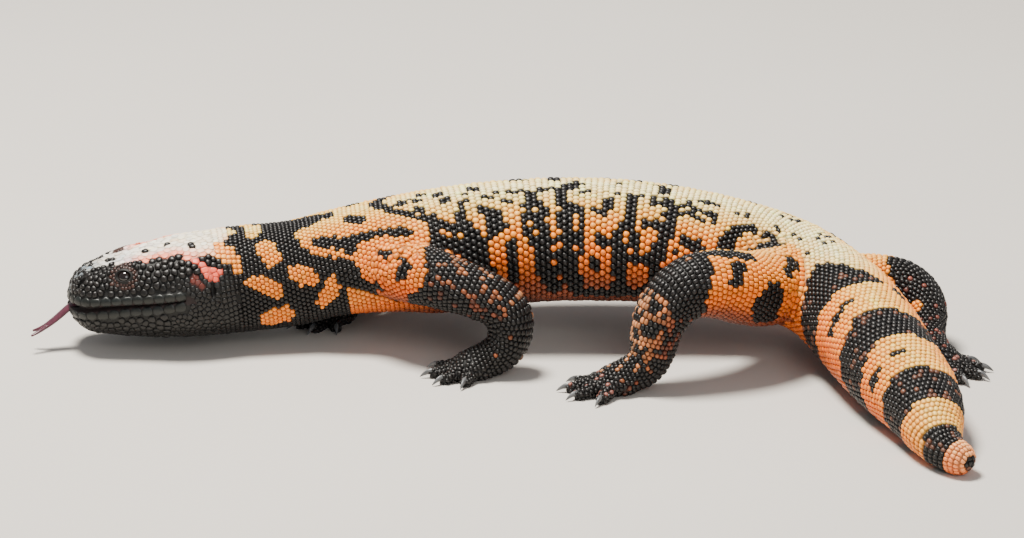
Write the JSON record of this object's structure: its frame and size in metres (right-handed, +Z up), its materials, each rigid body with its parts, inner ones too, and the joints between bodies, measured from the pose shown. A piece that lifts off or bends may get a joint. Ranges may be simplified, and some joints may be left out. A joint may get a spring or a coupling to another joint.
{
  "type": "gila monster",
  "caption": "Life-size gila monster walking with its head low, tongue out and fat tail bent to one side, a still museum model with a beaded orange and black hide.",
  "frame": {"origin": "middle of the model's box, at floor level under it", "axes": "-X towards the head, -Y towards the animal's left side and the tip of the tail, +Z up"},
  "size_m": [0.3506, 0.1982, 0.0569],
  "materials": {
    "hide": "beaded scales in orange, cream and near-black bands and blotches, satin",
    "eye": "wet dark brown with a round pupil",
    "claw": "dark horn with a soft shine",
    "tongue": "dark purple, moist"
  },
  "bodies": {
    "root": {"head": "hide", "neck": "hide", "chest": "hide", "belly": "hide", "hips": "hide", "tail_base": "hide", "tail_end": "hide", "tongue": "tongue", "eye_left": "eye", "eye_right": "eye", "front_left_upper": "hide", "front_left_lower": "hide", "front_left_foot": "hide", "front_left_claw_1": "claw", "front_left_claw_2": "claw", "front_left_claw_3": "claw", "front_left_claw_4": "claw", "front_left_claw_5": "claw", "front_right_upper": "hide", "front_right_lower": "hide", "front_right_foot": "hide", "front_right_claw_1": "claw", "front_right_claw_2": "claw", "front_right_claw_3": "claw", "front_right_claw_4": "claw", "front_right_claw_5": "claw", "hind_left_upper": "hide", "hind_left_lower": "hide", "hind_left_foot": "hide", "hind_left_claw_1": "claw", "hind_left_claw_2": "claw", "hind_left_claw_3": "claw", "hind_left_claw_4": "claw", "hind_left_claw_5": "claw", "hind_right_upper": "hide", "hind_right_lower": "hide", "hind_right_foot": "hide", "hind_right_claw_1": "claw", "hind_right_claw_2": "claw", "hind_right_claw_3": "claw", "hind_right_claw_4": "claw", "hind_right_claw_5": "claw"}
  },
  "joints": []
}
